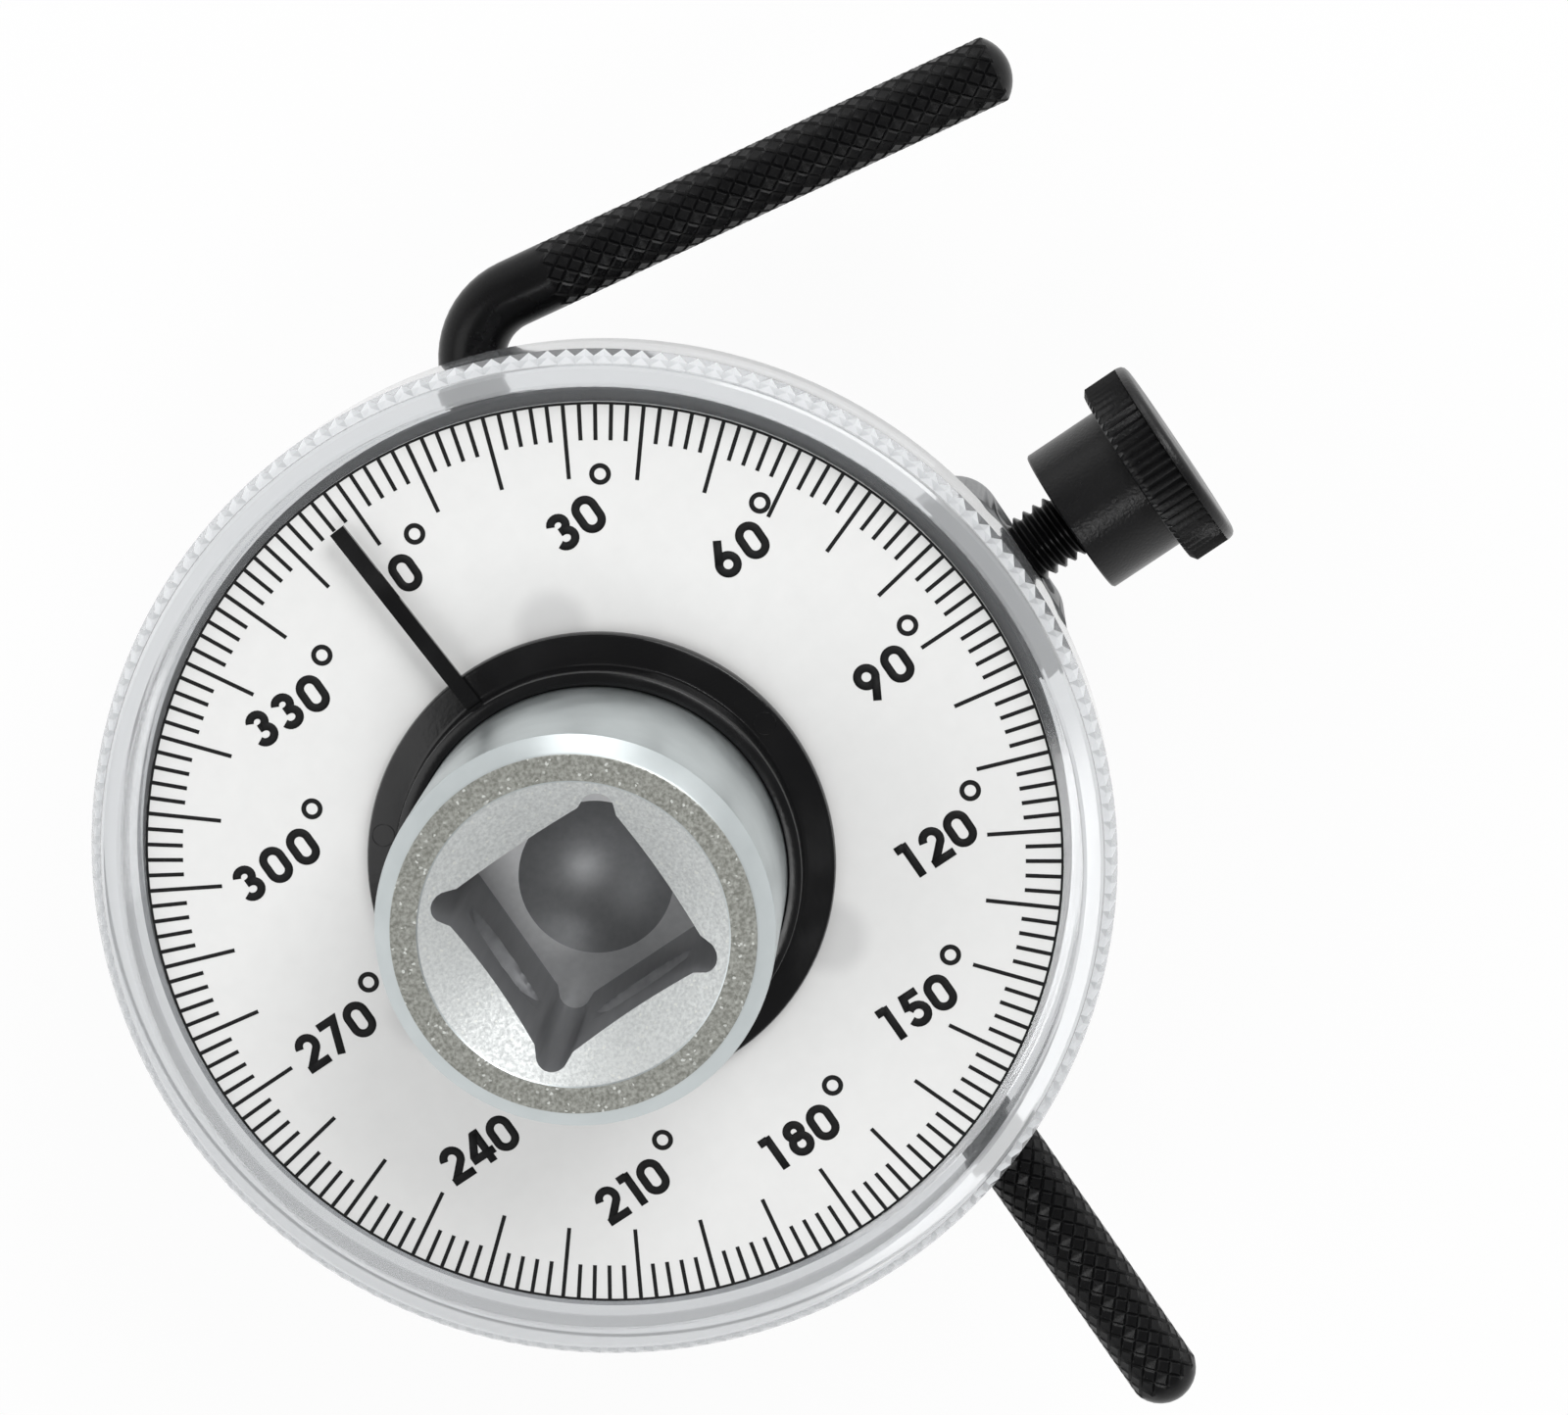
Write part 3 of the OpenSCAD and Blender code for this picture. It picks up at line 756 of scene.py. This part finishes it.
class GAUGE_OT_mould_ring(bpy.types.Operator):
    """Moulds the clear setting ring with its notched front corner"""

    bl_idname = "gauge.mould_ring"
    bl_label = "Setting ring"

    def execute(self, context):
        sizes = context.scene.gauge_sizes
        wall = sizes.ring_wall
        smooth, tip = wall + 1.5 * MM, RING_R
        skirt = wall - 0.3 * MM
        step, lip = 20.6 * MM, 18.8 * MM
        seat, front = DIAL_Z - 0.5 * MM, RIM_TOP - 1.0 * MM
        shelf, web = DIAL_Z - 1.7 * MM, DIAL_Z - 2.4 * MM
        notch, bevel = sizes.ring_notch, 0.4 * MM
        bm = bmesh.new()
        turn(bm, [
            (skirt, RING_FOOT), (tip - 0.3 * MM, RING_FOOT), (tip, RING_FOOT + 0.3 * MM),
            (tip, front - notch), (tip - bevel, front), (smooth, front),
            (smooth, RIM_TOP - 0.3 * MM), (smooth - 0.09 * MM, RIM_TOP - 0.09 * MM),
            (smooth - 0.3 * MM, RIM_TOP), (wall + 0.3 * MM, RIM_TOP),
            (wall + 0.1 * MM, RIM_TOP - 0.1 * MM), (wall, RIM_TOP - 0.3 * MM), (wall, seat),
            (step, seat), (step, shelf), (lip, shelf), (lip, web), (skirt, web),
        ], 2 * sizes.ring_teeth)
        # every other point of the front corner sinks, which cuts a V from the rim to the wall
        corner = [
            vert for vert in bm.verts
            if hypot(hypot(vert.co.x, vert.co.y) - tip + bevel, vert.co.z - front) < SAME]
        sunk = [
            vert for vert in corner
            if round(atan2(vert.co.y, vert.co.x) * sizes.ring_teeth / pi) % 2]
        inwards = (smooth + tip) / 2 / (tip - bevel)
        for vert in sunk:
            vert.co = Vector((vert.co.x * inwards, vert.co.y * inwards, front - notch / 2))
        bmesh.ops.triangulate(
            bm, faces=list({face for vert in corner for face in vert.link_faces}),
            quad_method="LONG_EDGE")
        # all but the raised rim is polished, so what lies behind it shows
        frosted, polished = 1, 2
        for face in bm.faces:
            if face.calc_center_median().z < front + 0.01 * MM:
                face.material_index = polished
        for face in {face for vert in sunk for face in vert.link_faces}:
            face.material_index = frosted
        keep_piece("clear_ring", bm, [
            clear_acrylic("clear_acrylic", 0.58, 0.05, 0.12),
            clear_acrylic("frosted_acrylic", 0.2, 0.4, 0.5),
            clear_acrylic("polished_acrylic", 0.85, 0.03, 0.08),
        ], "dial", ("setting_ring",), 20.0)
        return {"FINISHED"}


class GAUGE_OT_turn_thumbscrew(bpy.types.Operator):
    """Moulds the ribbed knob and cuts the stud's thread"""

    bl_idname = "gauge.turn_thumbscrew"
    bl_label = "Thumbscrew"

    def execute(self, context):
        sizes = context.scene.gauge_sizes
        colours = context.scene.gauge_colours
        self.mould_knob(sizes, colours)
        self.cut_thread(sizes, colours)
        return {"FINISHED"}

    def mould_knob(self, sizes, colours):
        place = along_x(KNOB_LOW.x, SCREW_Z)
        length = KNOB_HIGH.x - KNOB_LOW.x
        head = KNOB_HIGH.z - SCREW_Z
        ridge, low = head - 0.03 * MM, head - 0.4 * MM
        neck, shelf, bore = 5.45 * MM, 5.6 * MM, 2.5 * MM
        cap, blind = length - 0.75 * MM, length - 1.5 * MM
        steps = 4 * sizes.knob_ribs
        bm = bmesh.new()
        turn(bm, [
            (bore, 0.0), (neck - 0.12 * MM, 0.0), (neck, 0.12 * MM), (neck, shelf - 0.12 * MM),
            (neck + 0.12 * MM, shelf), (low - 0.05 * MM, shelf), (ridge, shelf + 0.3 * MM),
            (ridge, cap), (head - 0.03 * MM, cap + 0.08 * MM),
            (head - 0.05 * MM, length - 0.5 * MM), (head - 0.13 * MM, length - 0.26 * MM),
            (head - 0.32 * MM, length - 0.08 * MM), (head - 0.6 * MM, length),
            (0.0, length), (0.0, blind), (bore, blind),
        ], steps, place)
        half = (ridge + low) / 2
        flute(bm, place, steps, (ridge, half, low, half), cap + 0.01 * MM)
        nylon = moulded_plastic(
            "glass_filled_nylon", colours.plastic, linear("121213"), 0.3, 0.22, 0.1)
        keep_piece("ribbed_knob", bm, [nylon], "knob", ("thumbscrew_knob",), 30.0)

    def cut_thread(self, sizes, colours):
        pitch, crest = sizes.thread_pitch, STUD_HIGH.z - SCREW_Z
        root = crest - 0.42 * MM
        turns, parts = int((STUD_HIGH.x - STUD_LOW.x) / pitch) + 3, 24
        start = along_x(STUD_LOW.x - pitch, SCREW_Z)
        flank = (
            (root, 0.0), (crest, 0.36 * pitch), (crest, 0.5 * pitch), (root, 0.86 * pitch),
            (root, pitch))
        bm = bmesh.new()
        verts, edges = draw_line(bm, [start @ Vector((r, 0.0, z)) for r, z in flank])
        bmesh.ops.spin(
            bm, geom=verts + edges, cent=start.translation, axis=(1, 0, 0),
            dvec=(pitch / parts, 0, 0), angle=2 * pi * turns, steps=parts * turns)
        bmesh.ops.remove_doubles(bm, verts=bm.verts, dist=SAME)
        cut_off(bm, (STUD_LOW.x, 0, SCREW_Z), (-1, 0, 0))
        cut_off(bm, (STUD_HIGH.x, 0, SCREW_Z), (1, 0, 0))
        steel = black_oxide_steel(colours)
        keep_piece("threaded_stud", bm, [steel], "stud", ("thumbscrew_stud",), 25.0)


class GAUGE_OT_bend_arm(bpy.types.Operator):
    """Draws the reaction arm's rod through its bend and cuts the diamond knurl on both legs"""

    bl_idname = "gauge.bend_arm"
    bl_label = "Reaction arm"

    # grid steps in one diamond
    grid = 6

    def execute(self, context):
        sizes = context.scene.gauge_sizes
        sides = self.grid * sizes.knurl_diamonds
        # from a groove outwards: the groove, the raised edge of a diamond and its dished top
        depth = sizes.knurl_depth
        fall = (depth, 0.0, 0.15 * depth, 0.3 * depth)

        def knurled(place, radius, row):
            def point(column):
                reach = radius
                if row is not None:
                    reach -= fall[min(self.to_groove(column + row), self.to_groove(column - row))]
                angle = 2 * pi * column / sides
                return place @ Vector((reach * cos(angle), reach * sin(angle), 0.0))
            return point

        bm = bmesh.new()
        loft(bm, sides, [(0, knurled(*station)) for station in self.stations()])
        quads = [face for face in bm.faces if len(face.verts) == 4]
        bmesh.ops.triangulate(bm, faces=quads, quad_method="SHORT_EDGE")
        steel = black_oxide_steel(context.scene.gauge_colours)
        keep_piece("knurled_arm", bm, [steel], "arm", ("reaction_arm",), 18.0)
        return {"FINISHED"}

    def to_groove(self, count):
        """Grid steps from a point to the nearest groove of one hand."""
        return min(count % self.grid, -count % self.grid)

    def dome(self, radius, height):
        """Depths below the tip and radii of a domed end, from the tip to its corner."""
        parts = 7
        ball = (radius ** 2 + height ** 2) / (2 * height)
        widest = atan2(radius, ball - height)
        turns = [widest * (k + 0.5) / parts for k in range(parts)]
        return [(ball * (1 - cos(t)), ball * sin(t)) for t in turns]

    def stations(self):
        """Places, radii and knurl rows along the rod, from the long leg's tip to the other."""
        tip_r, rod_r = 2.5 * MM, 2.35 * MM
        line_x = 9.7 * MM
        line_z = (ARM_LOW.z + ARM_HIGH.z) / 2
        low_end = ARM_LOW.y
        bend_y, bend_r, bend_parts = 29.894 * MM, 5.0 * MM, 16
        turned = radians(99.5)
        # the short leg is 43.5 mm long to the corner of the bend, of which the bend takes 5.906 mm
        short_end = 43.5 * MM - 5.906 * MM
        cell = 1.37 * MM / self.grid
        long_dome, short_dome = 1.9 * MM, 1.1 * MM
        upright = Matrix.Translation((line_x, 0.0, line_z)) @ Matrix.Rotation(-pi / 2, 4, "X")
        pivot = Matrix.Translation((line_x + bend_r, bend_y, line_z))

        def on_long(y):
            return Matrix.Translation((0.0, y, 0.0)) @ upright

        def on_bend(angle):
            return pivot @ Matrix.Rotation(-angle, 4, "Z") @ pivot.inverted() @ on_long(bend_y)

        def on_short(distance):
            return on_bend(turned) @ Matrix.Translation((0.0, 0.0, distance))

        line = [(on_long(low_end + d), r, None) for d, r in self.dome(tip_r, long_dome)]
        start, stop = low_end + long_dome, -24 * MM
        rows = round((stop - start) / cell)
        line += [(on_long(start + (stop - start) * j / rows), tip_r, j) for j in range(rows)]
        line += [(on_long(stop + 0.15 * MM), rod_r, None), (on_long(bend_y), rod_r, None)]
        line += [
            (on_bend(turned * k / bend_parts), rod_r, None) for k in range(1, bend_parts + 1)]
        start, stop = 3.0 * MM, short_end - short_dome
        rows = round((stop - start) / cell)
        line.append((on_short(start - 0.2 * MM), rod_r, None))
        line += [(on_short(start + (stop - start) * j / rows), rod_r, j) for j in range(rows + 1)]
        domed = reversed(self.dome(rod_r, short_dome))
        return line + [(on_short(short_end - d), r, None) for d, r in domed]


class GAUGE_OT_finish_body(bpy.types.Operator):
    """Finishes the clamp body and the pieces inside it"""

    bl_idname = "gauge.finish_body"
    bl_label = "Clamp body"

    def execute(self, context):
        colours = context.scene.gauge_colours
        smooth_copy("cast_body", "clamp_body", die_cast_zinc(colours), "housing")
        # the carrier's nearly black grey doubles as painted shade in the gap round the dial
        acetal = moulded_plastic(
            "moulded_acetal", colours.carrier_and_gap_shade, linear("38393B"), 0.5, 0.5, 0.02)
        screws = machined_metal("zinc_screw_steel", "8E8F92", "A5A6A8", 0.25, 0.4, 0.5)
        bronze = machined_metal("sintered_bronze", "8F6A3C", "B08A55", 0.35, 0.55, 0.3)
        stamped = machined_metal("stamped_steel", "9A9B9C", "B2B3B4", 0.3, 0.45, 0.8)
        turned = machined_metal("turned_steel", "5A5B5D", "6C6D70", 0.3, 0.45, 0.6)
        for node, material in (
            ("carrier_plate", acetal), ("dial_retainer", acetal), ("retainer_screws", screws),
            ("friction_ring", nitrile_rubber()), ("front_bush", bronze), ("rear_bush", bronze),
            ("thrust_washer", stamped), ("stud_insert", turned),
        ):
            paint_node(node, material)
        return {"FINISHED"}


class GAUGE_OT_set_stage(bpy.types.Operator):
    """Sets the pale floor, the soft studio light and the camera"""

    bl_idname = "gauge.set_stage"
    bl_label = "Stage"

    def execute(self, context):
        scene = context.scene
        scene.view_settings.view_transform = "Standard"
        self.lay_floor(scene)
        self.light_world(scene)
        self.hang_lights(scene)
        self.set_camera(scene)
        return {"FINISHED"}

    def lay_floor(self, scene):
        floor_r, drop, sides = 2.5, 0.3 * MM, 96
        bm = bmesh.new()
        bmesh.ops.create_circle(
            bm, cap_ends=True, radius=floor_r, segments=sides,
            matrix=Matrix.Translation((0.0, 0.0, -drop)))
        mesh = bpy.data.meshes.new("pale_floor")
        bm.to_mesh(mesh)
        bm.free()
        floor = bpy.data.objects.new("pale_floor", mesh)
        scene.collection.objects.link(floor)
        # matt white board that is seen as paper white, with a trace of the object's shadow
        material, tree = blank_material("white_board")
        path = add(tree, "ShaderNodeLightPath")
        either = add(tree, "ShaderNodeMath", {"operation": "MAXIMUM"}, {
            0: path.outputs["Is Camera Ray"], 1: path.outputs["Is Glossy Ray"]})
        seen = add(tree, "ShaderNodeMath", {"operation": "MAXIMUM"}, {
            0: either.outputs["Value"], 1: path.outputs["Is Transmission Ray"]})
        share = add(tree, "ShaderNodeMath", {"operation": "MULTIPLY", 1: 0.92}, {
            0: seen.outputs["Value"]})
        board = add(tree, "ShaderNodeBsdfDiffuse", {"Color": opaque(linear("F2F2F2"))})
        glow = add(tree, "ShaderNodeEmission", {
            "Color": opaque(linear("FFFFFF")), "Strength": 1.0})
        mixed = add(tree, "ShaderNodeMixShader", None, {
            0: share.outputs["Value"], 1: board.outputs["BSDF"], 2: glow.outputs["Emission"]})
        add(tree, "ShaderNodeOutputMaterial", None, {"Surface": mixed.outputs["Shader"]})
        mesh.materials.append(material)

    def light_world(self, scene):
        world = bpy.data.worlds.new("studio")
        scene.world = world
        world.use_nodes = True
        tree = world.node_tree
        tree.nodes.clear()
        # white round the horizon, a greyer ceiling in reflections, soft light on matt surfaces
        path = add(tree, "ShaderNodeLightPath")
        clear = add(tree, "ShaderNodeMath", {"operation": "MAXIMUM"}, {
            0: path.outputs["Is Camera Ray"], 1: path.outputs["Is Transmission Ray"]})
        plain = add(tree, "ShaderNodeMapRange", {"To Min": 0.58, "To Max": 1.0}, {
            "Value": clear.outputs["Value"]})
        way = add(tree, "ShaderNodeTexCoord")
        split = add(tree, "ShaderNodeSeparateXYZ", None, {0: way.outputs["Generated"]})
        ceiling = add(tree, "ShaderNodeMapRange", {
            "From Min": 0.1, "From Max": 0.85, "To Min": 1.0, "To Max": 0.18},
            {"Value": split.outputs["Z"]})
        strength = add(tree, "ShaderNodeMix", None, {
            0: path.outputs["Is Glossy Ray"], 2: plain.outputs["Result"],
            3: ceiling.outputs["Result"]})
        sky = add(tree, "ShaderNodeBackground", {"Color": opaque(linear("FFFFFF"))}, {
            "Strength": strength.outputs[0]})
        add(tree, "ShaderNodeOutputWorld", None, {"Surface": sky.outputs["Background"]})

    def hang_lights(self, scene):
        aim = Vector((0.0, 0.0, DIAL_Z))
        for name, place, size, power in (
            ("key_softbox", (0.42, 0.20, 0.52), 0.30, 1.7),
            ("fill_softbox", (-0.36, 0.24, 0.55), 0.40, 0.8),
            ("rear_softbox", (0.28, 0.42, 0.16), 0.25, 0.35),
            ("overhead_softbox", (-0.05, -0.18, 0.62), 0.14, 0.4),
        ):
            lamp = bpy.data.lights.new(name, "AREA")
            lamp.shape = "SQUARE"
            lamp.size = size
            lamp.energy = power
            holder = bpy.data.objects.new(name, lamp)
            holder.location = place
            holder.rotation_euler = (aim - Vector(place)).to_track_quat("-Z", "Y").to_euler()
            scene.collection.objects.link(holder)

    def set_camera(self, scene):
        lens = bpy.data.cameras.new("camera")
        lens.lens = 94.5
        lens.sensor_width = 36.0
        lens.clip_start = 0.01
        camera = bpy.data.objects.new("camera", lens)
        # the photograph's viewing angle: image right and the way back from the object
        right = Vector((0.8236, -0.5656, -0.0430)).normalized()
        back = Vector((0.1383, 0.1268, 0.9822)).normalized()
        up = back.cross(right).normalized()
        right = up.cross(back)
        stand = Matrix((right, up, back)).transposed().to_4x4()
        stand.translation = (54.57 * MM, 36.98 * MM, DIAL_Z + 272.37 * MM)
        camera.matrix_world = stand
        scene.collection.objects.link(camera)
        scene.camera = camera


OPERATORS = (
    GAUGE_OT_set_stage, GAUGE_OT_dress_drive, GAUGE_OT_mould_pointer, GAUGE_OT_print_dial,
    GAUGE_OT_mould_ring, GAUGE_OT_turn_thumbscrew, GAUGE_OT_bend_arm, GAUGE_OT_finish_body,
)


class GAUGE_PT_sidebar(bpy.types.Panel):
    """Lists the gauge's pieces, sizes and colours"""

    bl_idname = "GAUGE_PT_sidebar"
    bl_label = "Torque angle gauge"
    bl_space_type = "VIEW_3D"
    bl_region_type = "UI"
    bl_category = "Gauge"

    def draw(self, context):
        for group in (context.scene.gauge_sizes, context.scene.gauge_colours):
            column = self.layout.column()
            for name in group.__annotations__:
                column.prop(group, name)
        for operator in OPERATORS:
            self.layout.operator(operator.bl_idname)


CLASSES = (GaugeSizes, GaugeColours, *OPERATORS, GAUGE_PT_sidebar)


def register():
    for cls in CLASSES:
        bpy.utils.register_class(cls)
    bpy.types.Scene.gauge_sizes = PointerProperty(type=GaugeSizes)
    bpy.types.Scene.gauge_colours = PointerProperty(type=GaugeColours)


def unregister():
    del bpy.types.Scene.gauge_colours
    del bpy.types.Scene.gauge_sizes
    for cls in reversed(CLASSES):
        bpy.utils.unregister_class(cls)


def main():
    register()
    bpy.ops.gauge.set_stage()
    bpy.ops.gauge.dress_drive()
    bpy.ops.gauge.mould_pointer()
    bpy.ops.gauge.print_dial()
    bpy.ops.gauge.mould_ring()
    bpy.ops.gauge.turn_thumbscrew()
    bpy.ops.gauge.bend_arm()
    bpy.ops.gauge.finish_body()


if __name__ == "__main__":
    main()
